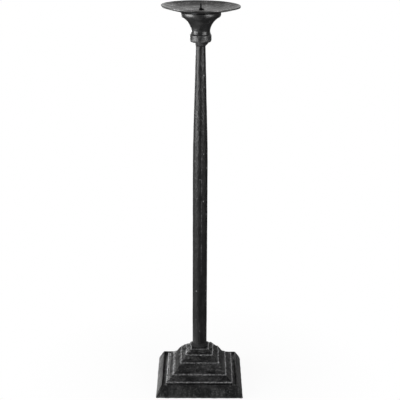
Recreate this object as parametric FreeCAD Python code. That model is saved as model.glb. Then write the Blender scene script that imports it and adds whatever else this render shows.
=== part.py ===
import FreeCAD, Part
import math
import os

from FreeCAD import Vector

# Pricket candlestick in cast iron, in millimetres, +Z up.
# The origin is on the table, under the middle of the square foot.

# Felt pads under the foot
pad_r = 8.0
pad_thickness = 2.5
pad_proud = 1.0
lug_margin = 1.0
lug_gap = 2.5

# Column, from its foot on the platform up to the collar
column_r = 11.2
column_length = 486.1
taper_length = 164.0
column_top_r = 6.95
foot_ring_out = 2.2
foot_ring_height = 5.6
foot_ring_undercut = 0.55
spigot_r = 8.0
spigot_length = 4.0
tenon_r = 4.5
tenon_length = 14.0

# Stepped foot: each tier is a steep riser with a sloping ledge at its foot, listed from the platform down
platform_margin = 0.8
riser_leans = [2.0, 7.2, 8.3, 5.5]
riser_heights = [4.6, 8.8, 12.3, 6.4]
ledge_widths = [4.8, 1.5, 3.7, 4.8]
ledge_falls = [2.2, 0.9, 1.9, 2.0]
channel_width = 7.0
channel_depth = 4.0
channel_slope = 3.6
skirt_height = 18.0
skirt_lean = 8.5
skirt_bulge = 0.55
foot_edge_height = 1.4
bead_height = 1.4

# Inside of the foot casting
rim_wall = 6.0
casting_wall = 4.5
top_thickness = 12.5
ceiling_margin = 3.0

# Bolt and washers that hold the column on the foot, M10
bolt_r = 5.0
bolt_length = 35.0
bolt_head_flats = 16.0
bolt_head_height = 6.4
bolt_crown_r = 7.6
bolt_crown_angle = 30.0
bolt_point = 0.8
bolt_hole_clearance = 0.5
bolt_tip_gap = 4.0
flat_washer_r = 10.0
flat_washer_thickness = 2.0
spring_washer_r = 9.0
spring_washer_thickness = 2.2
spring_washer_slit = 1.2
spring_washer_slant = 20.0

# Collar: a ring, a waisted neck, a bell and an upright band
ring_r = 15.7
ring_height = 10.4
ring_round = 2.0
neck_r = 13.6
neck_height = 15.6
neck_hollow = 0.25
bell_r = 25.4
bell_height = 35.2
bell_belly_r = 17.0
bell_belly_height = 26.2
band_quirk = 0.5
band_r = 29.4
band_round = 4.6
collar_height = 43.4
band_edge = 0.5

# Bead between the collar and the column, heavier on the +X side
collar_bead_height = 6.6
collar_bead_r = 10.1
collar_bead_offset = 2.9
collar_bead_lip = 0.35

# Drip pan, its washer and the spike, whose shank is an M6 screw
pan_r = 57.5
pan_flat_r = 20.0
pan_rise = 6.4
pan_thickness = 2.0
pan_rim_width = 1.0
pan_washer_r = 20.0
pan_washer_thickness = 1.0
stud_r = 3.0
stud_engagement = 12.5
stud_tip_gap = 2.0
spike_r = 1.5
spike_foot_r = 2.0
spike_height = 9.4
spike_point = 2.0
spike_tip_r = 0.6
spike_bead_r = 4.4
spike_bead_height = 2.2
spike_bead_offset = 0.8
spike_bead_lip = 0.4

# Clearances
thread_clearance = 0.05
spigot_clearance = 0.15
tenon_clearance = 0.05
washer_clearance = 0.25
tip_gap = 0.5

# Heights worked out from the sizes above
base_bottom = pad_proud
pad_seat = pad_thickness
bead_top = base_bottom + skirt_height + bead_height
platform = bead_top + sum(riser_heights) + sum(ledge_falls)
ceiling = platform - top_thickness
channel_floor = base_bottom + skirt_height - channel_depth
collar_bottom = platform + column_length
collar_top = collar_bottom + collar_height
pan_seat = collar_top + pan_washer_thickness
pan_floor = pan_seat + pan_thickness
pan_rim = pan_floor + pan_rise

# Widths of the foot, from its middle out to each edge
foot_ring_r = column_r + foot_ring_out
platform_half = foot_ring_r + platform_margin
bead_half = platform_half + sum(riser_leans) + sum(ledge_widths)
skirt_half = bead_half + channel_width
base_half = skirt_half + skirt_lean
ceiling_half = flat_washer_r + ceiling_margin
lug_r = pad_r + lug_margin
lug_place = base_half - rim_wall - lug_gap - lug_r


def point(r, z):
    return Vector(r, 0, z)


def line(start, end):
    return Part.LineSegment(start, end).toShape()


def arc(start, middle, end):
    return Part.Arc(start, middle, end).toShape()


def corners_to_edges(corners):
    return [line(a, b) for a, b in zip(corners[:-1], corners[1:])]


def turned(edges):
    """Solid of revolution about Z from a closed chain of edges in the XZ plane."""
    face = Part.Face(Part.Wire(edges))
    return face.revolve(Vector(0, 0, 0), Vector(0, 0, 1), 360)


def rod(r, bottom, top, x=0.0, y=0.0):
    return Part.makeCylinder(r, top - bottom, Vector(x, y, bottom))


def bulge_point(start, end, bulge):
    """Point a bulge's height off the middle of a chord, on the side away from the axis."""
    chord = end - start
    side = Vector(chord.z, 0, -chord.x).normalize()
    if side.x < 0:
        side = -side
    return (start + end) * 0.5 + side * bulge


def mitred(edges, reach):
    """Square-plan solid with mitred corners: the common part of a profile run along X and along Y."""
    mirror = [edge.mirror(Vector(0, 0, 0), Vector(1, 0, 0)) for edge in edges]
    ends = [edges[0].Vertexes, edges[-1].Vertexes]
    bottom_z = min(v.Z for v in ends[0])
    top_z = max(v.Z for v in ends[1])
    bottom_half = max(v.X for v in ends[0] if v.Z == bottom_z)
    top_half = min(v.X for v in ends[1] if v.Z == top_z)
    bottom = line(point(-bottom_half, bottom_z), point(bottom_half, bottom_z))
    top = line(point(-top_half, top_z), point(top_half, top_z))
    loop = Part.Wire(Part.__sortEdges__(edges + mirror + [bottom, top]))
    run = Part.Face(loop).extrude(Vector(0, 2 * reach, 0))
    run.translate(Vector(0, -reach, 0))
    across = run.copy()
    across.rotate(Vector(0, 0, 0), Vector(0, 0, 1), 90)
    return run.common(across).removeSplitter()


def tier_corners():
    """Corners of the tiers from the bead up to the platform, as points in the XZ plane."""
    half, height = bead_half, bead_top
    corners = [point(half, height)]
    for lean, rise, width, fall in reversed(list(zip(riser_leans, riser_heights, ledge_widths, ledge_falls))):
        half, height = half - width, height + fall
        corners.append(point(half, height))
        half, height = half - lean, height + rise
        corners.append(point(half, height))
    return corners


def base_outside():
    tiers = tier_corners()
    foot = point(base_half, base_bottom)
    foot_top = point(base_half, base_bottom + foot_edge_height)
    skirt_top = point(skirt_half, base_bottom + skirt_height)
    bead_foot = point(bead_half, base_bottom + skirt_height)
    edges = [line(foot, foot_top), arc(foot_top, bulge_point(foot_top, skirt_top, skirt_bulge), skirt_top)]
    edges += corners_to_edges([skirt_top, bead_foot] + tiers)
    return mitred(edges, base_half)


def base_hollow():
    riser_feet = tier_corners()[1:-2:2]
    corners = [point(base_half - rim_wall, base_bottom), point(bead_half, channel_floor - casting_wall)]
    corners += [foot - point(casting_wall, casting_wall) for foot in riser_feet]
    corners.append(point(ceiling_half, ceiling))
    return mitred(corners_to_edges(corners), base_half)


def base_channel():
    skirt_top = base_bottom + skirt_height
    sides = [point(skirt_half - channel_slope, channel_floor), point(skirt_half, skirt_top)]
    outer = mitred(corners_to_edges(sides), base_half)
    side = 2 * bead_half
    inner = Part.makeBox(side, side, channel_depth, Vector(-bead_half, -bead_half, channel_floor))
    return outer.cut(inner)


def pad_places():
    """Corner of each pad by name: left is -X and front is -Y."""
    places = {}
    for depth, y in (("front", -lug_place), ("back", lug_place)):
        for hand, x in (("left", -lug_place), ("right", lug_place)):
            places["felt_pad_" + depth + "_" + hand] = (x, y)
    return places


def make_base():
    shape = base_outside().cut(base_hollow()).cut(base_channel())
    lug_top = channel_floor - casting_wall / 2
    for x, y in pad_places().values():
        shape = shape.fuse(rod(lug_r, pad_seat, lug_top, x, y))
    shape = shape.cut(rod(bolt_r + bolt_hole_clearance, ceiling - tip_gap, platform + tip_gap))
    socket_bottom = platform - spigot_length - tip_gap
    return shape.cut(rod(spigot_r + spigot_clearance, socket_bottom, platform + tip_gap)).removeSplitter()


def make_pads():
    return {name: rod(pad_r, 0, pad_seat, x, y) for name, (x, y) in pad_places().items()}


def make_column():
    spigot_bottom = platform - spigot_length
    ring_foot = point(foot_ring_r - foot_ring_undercut, platform)
    ring_top = point(column_r, platform + foot_ring_height)
    ring_middle = point(foot_ring_r, platform + foot_ring_height / 2)
    tenon_top = collar_bottom + tenon_length
    below = [point(0, spigot_bottom), point(spigot_r, spigot_bottom), point(spigot_r, platform), ring_foot]
    above = [ring_top, point(column_r, collar_bottom - taper_length), point(column_top_r, collar_bottom),
             point(tenon_r, collar_bottom), point(tenon_r, tenon_top), point(0, tenon_top)]
    edges = corners_to_edges(below) + [arc(ring_foot, ring_middle, ring_top)] + corners_to_edges(above)
    shape = turned(edges + [line(point(0, tenon_top), point(0, spigot_bottom))])
    return shape.cut(rod(bolt_r + thread_clearance, spigot_bottom - tip_gap, bolt_top() + bolt_tip_gap))


def bolt_bottom():
    """Underside of the bolt's head, below both washers."""
    return ceiling - flat_washer_thickness - spring_washer_thickness


def bolt_top():
    return bolt_bottom() + bolt_length


def make_bolt():
    head_r = bolt_head_flats / math.sqrt(3)
    head_bottom = bolt_bottom() - bolt_head_height
    turns = [math.radians(60 * side) for side in range(7)]
    outline = Part.makePolygon([Vector(head_r * math.cos(a), head_r * math.sin(a), head_bottom) for a in turns])
    head = Part.Face(outline).extrude(Vector(0, 0, bolt_head_height))
    crown_spread = bolt_head_height / math.tan(math.radians(bolt_crown_angle))
    crown = Part.makeCone(bolt_crown_r, bolt_crown_r + crown_spread, bolt_head_height, Vector(0, 0, head_bottom))
    head = head.common(crown)
    point_cone = Part.makeCone(bolt_r, bolt_r - bolt_point, bolt_point, Vector(0, 0, bolt_top() - bolt_point))
    shank = rod(bolt_r, bolt_bottom(), bolt_top() - bolt_point)
    return head.fuse(shank).fuse(point_cone).removeSplitter()


def make_ring_washer(r, bore_r, bottom, thickness):
    return rod(r, bottom, bottom + thickness).cut(rod(bore_r, bottom - tip_gap, bottom + thickness + tip_gap))


def make_flat_washer():
    return make_ring_washer(flat_washer_r, bolt_r + washer_clearance, ceiling - flat_washer_thickness,
                            flat_washer_thickness)


def make_spring_washer():
    ring = make_ring_washer(spring_washer_r, bolt_r + washer_clearance, bolt_bottom(), spring_washer_thickness)
    middle = bolt_bottom() + spring_washer_thickness / 2
    slit_height = 2 * spring_washer_thickness
    slit = Part.makeBox(spring_washer_r, spring_washer_slit, slit_height,
                        Vector(0, -spring_washer_slit / 2, middle - slit_height / 2))
    slit.rotate(Vector(0, 0, middle), Vector(1, 0, 0), spring_washer_slant)
    return ring.cut(slit)


def make_collar():
    z = collar_bottom
    ring_low = point(ring_r, z + ring_round)
    ring_corner = point(ring_r - ring_round, z)
    ring_mid = point(ring_r - ring_round * (1 - math.sqrt(0.5)), z + ring_round * (1 - math.sqrt(0.5)))
    neck_foot = point((ring_r + neck_r) / 2, z + ring_height + (ring_r - neck_r) / 2)
    neck = point(neck_r, z + neck_height)
    neck_side = bulge_point(neck_foot, neck, -neck_hollow)
    belly = point(bell_belly_r, z + bell_belly_height)
    bell_top = point(bell_r, z + bell_height)
    band_foot = point(bell_r + band_quirk, z + bell_height + band_quirk)
    round_end = point(band_r, band_foot.z + band_round)
    swell = math.sqrt(0.5)
    round_mid = point(band_foot.x + (band_r - band_foot.x) * swell, round_end.z - band_round * swell)
    edges = [line(point(0, z), ring_corner), arc(ring_corner, ring_mid, ring_low)]
    edges += corners_to_edges([ring_low, point(ring_r, z + ring_height), neck_foot])
    edges += [arc(neck_foot, neck_side, neck), arc(neck, belly, bell_top), line(bell_top, band_foot)]
    edges += [arc(band_foot, round_mid, round_end)]
    edges += corners_to_edges([round_end, point(band_r, collar_top - band_edge),
                               point(band_r - band_edge, collar_top), point(0, collar_top), point(0, z)])
    shape = turned(edges)
    shape = shape.cut(rod(tenon_r + tenon_clearance, z - tip_gap, z + tenon_length + tip_gap))
    bore_bottom = collar_top - stud_engagement - stud_tip_gap
    return shape.cut(rod(stud_r + thread_clearance, bore_bottom, collar_top + tip_gap))


def make_bead(low_r, low_z, low_x, high_r, high_z, high_x):
    low = Part.Wire(Part.makeCircle(low_r, Vector(low_x, 0, low_z)))
    high = Part.Wire(Part.makeCircle(high_r, Vector(high_x, 0, high_z)))
    return Part.makeLoft([low, high], True, True)


def make_collar_weld(column):
    taper = (column_r - column_top_r) / taper_length
    low_r = column_top_r + taper * collar_bead_height + collar_bead_lip
    low_z = collar_bottom - collar_bead_height
    bead = make_bead(low_r, low_z, 0, collar_bead_r, collar_bottom, collar_bead_offset)
    return bead.cut(column)


def make_pan_washer():
    return make_ring_washer(pan_washer_r, stud_r + washer_clearance, collar_top, pan_washer_thickness)


def pan_arc(bottom, width, rise):
    """Arc that leaves the pan's flat middle level and climbs to the rim."""
    radius = (width ** 2 + rise ** 2) / (2 * rise)
    half_turn = math.asin(width / radius) / 2
    middle = point(pan_flat_r + radius * math.sin(half_turn), bottom + radius * (1 - math.cos(half_turn)))
    return arc(point(pan_flat_r, bottom), middle, point(pan_flat_r + width, bottom + rise))


def make_pan():
    dish_r = pan_r - pan_rim_width
    inner = pan_arc(pan_floor, dish_r - pan_flat_r, pan_rise)
    outer = pan_arc(pan_seat, dish_r - pan_flat_r, pan_rise)
    edges = [line(point(0, pan_seat), point(pan_flat_r, pan_seat)), outer, inner,
             line(point(pan_flat_r, pan_floor), point(0, pan_floor)),
             line(point(0, pan_floor), point(0, pan_seat))]
    edges += corners_to_edges([point(dish_r, pan_rim - pan_thickness), point(pan_r, pan_rim - pan_thickness),
                               point(pan_r, pan_rim), point(dish_r, pan_rim)])
    shape = turned(Part.__sortEdges__(edges))
    return shape.cut(rod(stud_r + washer_clearance, pan_seat - tip_gap, pan_floor + tip_gap))


def make_spike():
    stud_bottom = collar_top - stud_engagement
    tip = pan_floor + spike_height
    corners = [point(0, stud_bottom), point(stud_r, stud_bottom), point(stud_r, pan_floor),
               point(spike_foot_r, pan_floor), point(spike_r, pan_floor + spike_bead_height),
               point(spike_r, tip - spike_point), point(spike_tip_r, tip), point(0, tip), point(0, stud_bottom)]
    return turned(corners_to_edges(corners))


def make_spike_weld(spike):
    bead = make_bead(spike_bead_r, pan_floor, spike_bead_offset, spike_r + spike_bead_lip,
                     pan_floor + spike_bead_height, 0)
    return bead.cut(spike)


def make_parts():
    column = make_column()
    spike = make_spike()
    parts = {"base_casting": make_base()}
    parts.update(make_pads())
    parts.update({
        "base_bolt": make_bolt(),
        "base_flat_washer": make_flat_washer(),
        "base_spring_washer": make_spring_washer(),
        "column": column,
        "collar": make_collar(),
        "collar_weld": make_collar_weld(column),
        "pan_washer": make_pan_washer(),
        "drip_pan": make_pan(),
        "spike": spike,
        "spike_weld": make_spike_weld(spike),
    })
    return parts


os.makedirs("parts", exist_ok=True)
for name, shape in make_parts().items():
    shape.exportStep("parts/" + name + ".step")
    box = shape.optimalBoundingBox()
    print(name, len(shape.Solids), "solid", shape.isValid(), "volume", round(shape.Volume / 1000, 2), "cm3",
          "z", round(box.ZMin, 2), "to", round(box.ZMax, 2), "width", round(box.XLength, 2))
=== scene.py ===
import functools
import math
from typing import NamedTuple

import bpy
from bpy.props import FloatProperty, FloatVectorProperty, PointerProperty
from mathutils import Matrix, Vector


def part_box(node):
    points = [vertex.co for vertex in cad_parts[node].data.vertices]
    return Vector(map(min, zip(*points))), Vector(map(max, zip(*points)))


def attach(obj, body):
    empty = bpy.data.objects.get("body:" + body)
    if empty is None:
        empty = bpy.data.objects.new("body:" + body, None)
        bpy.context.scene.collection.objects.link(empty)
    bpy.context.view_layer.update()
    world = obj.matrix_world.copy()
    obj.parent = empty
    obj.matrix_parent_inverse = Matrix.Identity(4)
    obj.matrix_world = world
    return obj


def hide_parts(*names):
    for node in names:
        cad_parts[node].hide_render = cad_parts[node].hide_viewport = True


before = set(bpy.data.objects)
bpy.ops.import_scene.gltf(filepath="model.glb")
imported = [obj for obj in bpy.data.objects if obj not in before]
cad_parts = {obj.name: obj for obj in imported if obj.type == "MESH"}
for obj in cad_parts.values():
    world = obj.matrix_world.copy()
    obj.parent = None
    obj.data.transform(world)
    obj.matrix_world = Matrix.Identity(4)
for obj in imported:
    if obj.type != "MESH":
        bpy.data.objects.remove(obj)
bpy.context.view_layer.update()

MM = 0.001
FULL_TURN = 2 * math.pi
WHITE = (1.0, 1.0, 1.0, 1.0)

bl_info = {
    "name": "Pricket candlestick",
    "version": (1, 0, 0),
    "blender": (4, 5, 0),
    "location": "3D View > Sidebar > Candlestick",
    "description": "Dresses a tall cast candlestick: foot, column, collar, drip pan and spike",
    "category": "Add Mesh",
}

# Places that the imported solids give
FOOT_LOW, FOOT_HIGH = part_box("base_casting")
COLUMN_LOW, COLUMN_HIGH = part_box("column")
COLLAR_LOW, COLLAR_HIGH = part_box("collar")
PAN_LOW, PAN_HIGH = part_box("drip_pan")
SPIKE_LOW, SPIKE_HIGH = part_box("spike")
PAD_LOW, PAD_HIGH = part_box("felt_pad_back_right")

BOTTOM = FOOT_LOW.z
PLATFORM = FOOT_HIGH.z
COLLAR_BOTTOM = COLLAR_LOW.z
COLLAR_TOP = COLLAR_HIGH.z
PAD_R = (PAD_HIGH.x - PAD_LOW.x) / 2
PAD_PLACE = (PAD_HIGH.x + PAD_LOW.x) / 2

# The photograph's camera, worked out from the foot's front and back edges
IMAGE_WIDTH = 400
FOCAL_PIXELS = 1036.7
SENSOR_WIDTH = 36.0
CAMERA_PLACE = (-0.00018, -1.5030, 0.7981)
CAMERA_PITCH = math.radians(18.21)
CAMERA_ROLL = math.radians(0.21)


def size(name, description, value):
    """A length that a user may change, given in millimetres."""
    return FloatProperty(name=name, description=description, default=value * MM, unit="LENGTH", precision=5)


def sizes(name, description, *values):
    """A row of lengths, one for each tier of the foot, given in millimetres."""
    metres = tuple(value * MM for value in values)
    return FloatVectorProperty(name=name, description=description, default=metres, size=len(metres),
                               unit="LENGTH", precision=5)


def factor(name, description, value):
    return FloatProperty(name=name, description=description, default=value, min=0.0)


def factors(name, description, *values):
    """A row of factors, one for each tier of the foot."""
    return FloatVectorProperty(name=name, description=description, default=values, size=len(values),
                               min=0.0)


def share(name, description, value):
    return FloatProperty(name=name, description=description, default=value, min=0.0, max=1.0,
                         subtype="FACTOR")


def degrees(name, description, value):
    return FloatProperty(name=name, description=description, default=math.radians(value), subtype="ANGLE")


def watts(name, description, value):
    return FloatProperty(name=name, description=description, default=value, unit="POWER")


def colour(name, description, *value):
    return FloatVectorProperty(name=name, description=description, default=value, size=3, min=0.0, max=1.0,
                               subtype="COLOR")


class FootSettings(bpy.types.PropertyGroup):
    platform_half: size("Platform", "Half the width of the platform under the column", 14.2)
    riser_leans: sizes("Riser leans", "How far each riser leans in, from the platform down",
                       2.0, 7.2, 8.3, 5.5)
    riser_heights: sizes("Riser heights", "Height of each riser, from the platform down",
                         4.6, 8.8, 12.3, 6.4)
    ledge_widths: sizes("Ledge widths", "Width of the ledge at the foot of each riser",
                        4.8, 1.5, 3.7, 4.8)
    ledge_falls: sizes("Ledge falls", "How far each ledge falls outwards", 2.2, 0.9, 1.9, 2.0)
    # Platform and edge wear paint both rubbed bare iron and highlights along the lit tier edges
    platform_wear_and_glint: factor("Platform wear and glint", "How bare the platform's edge is", 0.55)
    platform_lumps: factor("Platform lumps", "How wavy the platform's edge is", 2.5)
    edge_wear_and_glint: factors("Edge wear and glint", "How bare each ledge's edge is, from the platform down",
                       0.68, 0.55, 0.75, 1.22)
    edge_lumps: factors("Edge lumps", "How wavy each ledge's edge is, from the platform down",
                        8.0, 7.0, 5.0, 3.0)
    # Channel light pales the channel's corners: painted light lifting the shade in the channel
    channel_light: factor("Channel light", "How bare the corners of the channel are", 0.12)
    rim_wear: factor("Rim wear", "How bare the skirt's lower edge is", 0.25)
    # These two scale the edge colour by side: painted edge highlights, dimmer on the front and brighter on
    # the right
    front_edge_light: factor("Front edge light", "Share of that wear on the front", 0.42)
    right_edge_light: factor("Right edge light", "Share of that wear on the right", 1.7)
    channel_width: size("Channel width", "Width of the channel between the bead and the skirt", 7.0)
    channel_depth: size("Channel depth", "Depth of the channel below the skirt's top", 4.0)
    channel_slope: size("Channel slope", "How far the channel's outer wall leans", 3.6)
    skirt_height: size("Skirt height", "Height of the skirt", 18.0)
    skirt_bulge: size("Skirt bulge", "How far the skirt swells out", 0.55)
    foot_edge: size("Foot edge", "Height of the upright edge along the table", 1.4)
    rim_wall: size("Rim wall", "Thickness of the casting at its rim", 6.0)
    casting_wall: size("Casting wall", "Thickness of the casting under the tiers", 4.5)
    top_thickness: size("Top thickness", "Thickness of the casting under the platform", 12.5)
    ceiling_half: size("Ceiling", "Half the width of the flat ceiling inside the foot", 13.0)
    socket_r: size("Socket radius", "Radius of the socket for the column's spigot", 8.15)
    socket_depth: size("Socket depth", "Depth of that socket", 4.5)
    hole_r: size("Bolt hole radius", "Radius of the hole for the bolt", 5.5)
    lug_margin: size("Lug margin", "How far each lug stands out round its pad", 1.0)
    edge_soft: size("Edge rounding", "Rounding of the cast edges", 0.8)
    corner_soft: size("Corner rounding", "Rounding of the mitred corners", 2.0)
    lump_size: size("Lump size", "Width of the casting's lumps", 11.0)
    lump_depth: size("Lump depth", "Height of the casting's lumps", 0.7)


class ColumnSettings(bpy.types.PropertyGroup):
    shaft_r: size("Shaft radius", "Radius of the straight part of the column", 11.2)
    top_r: size("Top radius", "Radius of the column under the collar", 6.95)
    taper_length: size("Taper", "Length of the tapered part", 164.0)
    knee_soft: size("Knee rounding", "Rounding where the taper begins", 30.0)
    ring_out: size("Foot ring", "How far the ring at the column's foot stands out", 2.2)
    ring_height: size("Foot ring height", "Height of the ring at the column's foot", 5.6)
    ring_undercut: size("Foot ring undercut", "How far the ring draws in at the platform", 0.55)
    ring_grime: size("Foot ring grime", "How far the ring's dirt runs up the shaft", 4.0)
    spigot_r: size("Spigot radius", "Radius of the spigot in the foot", 8.0)
    tenon_r: size("Tenon radius", "Radius of the tenon in the collar", 4.5)
    bore_r: size("Bore radius", "Radius of the threaded bore for the bolt", 5.05)
    bore_top: size("Bore top", "Height of the bore's end", 81.8)
    seam_angle: degrees("Seam", "Where the mould's parting seam runs, round from +X", -79.0)
    seam_width: size("Seam width", "Half the width of the parting seam", 0.8)
    seam_height: size("Seam height", "Height of the parting seam", 0.25)
    seam_from: size("Seam from", "Height where the seam begins, dressed off below", 180.0)
    seam_to: size("Seam to", "Height where the seam ends, dressed off above", 420.0)
    lump_size: size("Lump size", "Width of the casting's lumps", 16.0)
    lump_depth: size("Lump depth", "Height of the casting's lumps", 0.3)


class CollarSettings(bpy.types.PropertyGroup):
    ring_r: size("Ring radius", "Radius of the ring at the collar's foot", 15.7)
    ring_height: size("Ring height", "Height of that ring", 10.4)
    neck_r: size("Neck radius", "Radius of the waist", 13.6)
    neck_height: size("Neck height", "Height of the waist", 15.6)
    belly_r: size("Belly radius", "Radius half way up the bell", 17.0)
    belly_height: size("Belly height", "Height half way up the bell", 26.2)
    bell_r: size("Bell radius", "Radius at the bell's top", 25.4)
    bell_height: size("Bell height", "Height of the bell's top", 35.2)
    band_groove: size("Band groove", "Width of the groove between the bell and the band", 0.5)
    band_r: size("Band radius", "Radius of the upright band", 29.4)
    band_round: size("Band rounding", "Rounding under the band", 4.6)
    tenon_bore_r: size("Tenon bore radius", "Radius of the bore for the column's tenon", 4.55)
    tenon_bore: size("Tenon bore depth", "Depth of that bore", 14.5)
    stud_bore_r: size("Stud bore radius", "Radius of the threaded bore for the spike", 3.05)
    stud_bore: size("Stud bore depth", "Depth of that bore", 14.5)
    ring_grime: share("Ring grime", "How dull the ring is", 0.55)
    band_grime: share("Band grime", "How dull the band is", 0.42)
    ring_lumps: factor("Ring lumps", "How lumpy the ring is", 1.3)
    bell_lumps: factor("Bell lumps", "How lumpy the bell and the band are", 0.5)
    lump_size: size("Lump size", "Width of the casting's lumps", 6.0)
    lump_depth: size("Lump depth", "Height of the casting's lumps", 0.3)


class PanSettings(bpy.types.PropertyGroup):
    flat_r: size("Flat middle", "Radius of the flat middle of the pan", 20.0)
    thickness: size("Thickness", "Thickness of the pan", 2.0)
    rim_width: size("Rim width", "Width of the pan's level rim", 1.0)
    rim_soft: size("Rim rounding", "Rounding of the rim's edges", 0.3)
    # This carries the pan's paler brushed colour onto the rim: partly the brushed finish, partly painted
    # light on the rim's outer face
    rim_brushed_and_lit: share("Rim brushing and light", "How far the brushing of the inside takes in the rim", 0.35)
    hole_r: size("Hole radius", "Radius of the hole for the spike", 3.25)
    tilt: degrees("Tilt", "How far the pan's rim dips at +X", 0.65)
    spike_r: size("Spike radius", "Radius of the spike", 1.5)
    spike_foot_r: size("Spike foot radius", "Radius of the spike on the pan", 2.0)
    spike_foot: size("Spike foot", "Height over which the spike's foot draws in", 2.2)
    spike_point: size("Spike point", "Length of the spike's point", 2.0)
    spike_tip_r: size("Spike tip radius", "Radius of the blunt tip", 0.6)
    stud_r: size("Stud radius", "Radius over the thread below the pan", 2.98)
    stud_bevel: size("Stud bevel", "Length of the bevel at the stud's end", 0.8)
    thread_pitch: size("Thread pitch", "Rise of one turn of the thread", 1.0)
    thread_depth: size("Thread depth", "Depth of the thread", 0.55)


class FinishSettings(bpy.types.PropertyGroup):
    iron: colour("Iron", "Blackened cast iron", 0.003, 0.003, 0.0033)
    iron_pale: colour("Pale iron", "Cast iron where the black is thin", 0.046, 0.046, 0.046)
    # The rubbed colour paints worn bare iron, and on the foot's edges painted highlights too
    rubbed: colour("Rubbed and glinting iron", "Iron rubbed bare along the edges", 0.55, 0.55, 0.56)
    pan_iron: colour("Pan iron", "Iron inside the pan", 0.56, 0.553, 0.55)
    zinc: colour("Zinc", "Zinc plate of the bolt and washers", 0.52, 0.53, 0.55)
    spring: colour("Spring steel", "Oiled spring washer", 0.09, 0.09, 0.1)
    felt: colour("Felt", "Pressed wool of the pads", 0.03, 0.03, 0.033)
    rub_and_glint_amount: share("Rubbing", "How much of the rubbed edges' bare metal shows", 1.0)


class StageSettings(bpy.types.PropertyGroup):
    left_power: watts("Left light", "Power of the large light on the left", 14.0)
    right_power: watts("Right light", "Power of the light on the right", 6.8)
    back_power: watts("Back light", "Power of the light behind, on the left", 2.6)
    far_power: watts("Far light", "Power of the light behind, on the right", 0.15)
    fill: share("Fill", "Strength of the even light from all round", 0.18)
    dim: share("Dim side", "What gloss sees in front of the object", 0.04)
    backdrop: share("Backdrop", "What gloss sees low behind the object", 1.0)
    near_glow: share("Near glow", "What gloss sees of the floor close by on the left", 0.8)
    paper_glow: share("Paper glow", "What gloss sees of the floor some way behind", 0.12)
    left_glow: share("Left glow", "What gloss sees of the floor on the left", 0.25)
    right_glow: share("Right glow", "What gloss sees of the floor on the right", 0.12)


class Field:
    """A node's output with its tree. Arithmetic on it adds math nodes to that tree."""

    def __init__(self, tree, socket):
        self.tree = tree
        self.socket = socket

    def __add__(self, other):
        return calc("ADD", self, other)

    def __sub__(self, other):
        return calc("SUBTRACT", self, other)

    def __rsub__(self, other):
        return calc("SUBTRACT", other, self)

    def __mul__(self, other):
        return calc("MULTIPLY", self, other)

    def __truediv__(self, other):
        return calc("DIVIDE", self, other)

    def __rtruediv__(self, other):
        return calc("DIVIDE", other, self)


def feed(socket, value):
    """Links a field to a socket, or sets the socket's own value."""
    if isinstance(value, Field):
        value.tree.links.new(value.socket, socket)
    else:
        socket.default_value = value


def add(tree, kind, values, **settings):
    """Adds a node with its settings, and feeds its inputs by name or place."""
    node = tree.nodes.new(kind)
    for name, value in settings.items():
        setattr(node, name, value)
    for key, value in values.items():
        feed(node.inputs[key], value)
    return node


def output(tree, kind, values=None, key=0, **settings):
    """Adds a node and gives one of its outputs."""
    return Field(tree, add(tree, kind, values or {}, **settings).outputs[key])


def fields(tree, node):
    """All outputs of a node by name."""
    return {socket.name: Field(tree, socket) for socket in node.outputs}


def tree_of(values):
    return next(value.tree for value in values if isinstance(value, Field))


def calc(operation, *values):
    return output(tree_of(values), "ShaderNodeMath", dict(enumerate(values)), operation=operation)


def vec(operation, *values):
    return output(tree_of(values), "ShaderNodeVectorMath", dict(enumerate(values)), operation=operation)


def scaled(vector, by):
    return output(vector.tree, "ShaderNodeVectorMath", {"Vector": vector, "Scale": by}, operation="SCALE")


def combine(tree, **parts):
    """A vector from its X, Y and Z."""
    return output(tree, "ShaderNodeCombineXYZ", parts)


def split(vector):
    """The X, Y and Z of a vector."""
    node = add(vector.tree, "ShaderNodeSeparateXYZ", {"Vector": vector})
    return [Field(vector.tree, socket) for socket in node.outputs]


def circle(radius, angle):
    """The X and Y of a place on a circle."""
    return radius * calc("COSINE", angle), radius * calc("SINE", angle)


def between(value, low, high, to_low, to_high):
    """Maps a value from one range to another, with its ends held."""
    values = {"Value": value, "From Min": low, "From Max": high, "To Min": to_low, "To Max": to_high}
    return output(value.tree, "ShaderNodeMapRange", values, clamp=True)


def ramp_up(value, low, high):
    """0 up to low and 1 from high on."""
    return between(value, low, high, 0.0, 1.0)


def ramp_down(value, low, high):
    """1 up to low and 0 from high on."""
    return between(value, low, high, 1.0, 0.0)


def mix(part, first, second):
    """A number from the first, where part is 0, to the second, where it is 1."""
    return output(part.tree, "ShaderNodeMix", {0: part, 2: first, 3: second}, data_type="FLOAT")


def mix_vector(part, first, second):
    return output(part.tree, "ShaderNodeMix", {0: part, 4: first, 5: second}, key=1, data_type="VECTOR")


def mix_colour(part, first, second):
    return output(part.tree, "ShaderNodeMix", {0: part, 6: first, 7: second}, key=2, data_type="RGBA")


def noise(vector, scale, detail, seed=0.0):
    values = {"Vector": vector, "W": seed, "Scale": scale, "Detail": detail}
    return output(vector.tree, "ShaderNodeTexNoise", values, noise_dimensions="4D")


def cells(vector, scale, seed=None):
    """Distance from the middle of the nearest cell, and the chance from 0 to 1 that the cell drew."""
    values = {"Vector": vector, "Scale": scale}
    dimensions = "3D"
    if seed is not None:
        values["W"] = seed
        dimensions = "4D"
    node = add(vector.tree, "ShaderNodeTexVoronoi", values, voronoi_dimensions=dimensions)
    found = fields(vector.tree, node)
    return found["Distance"], split(found["Color"])[0]


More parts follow.
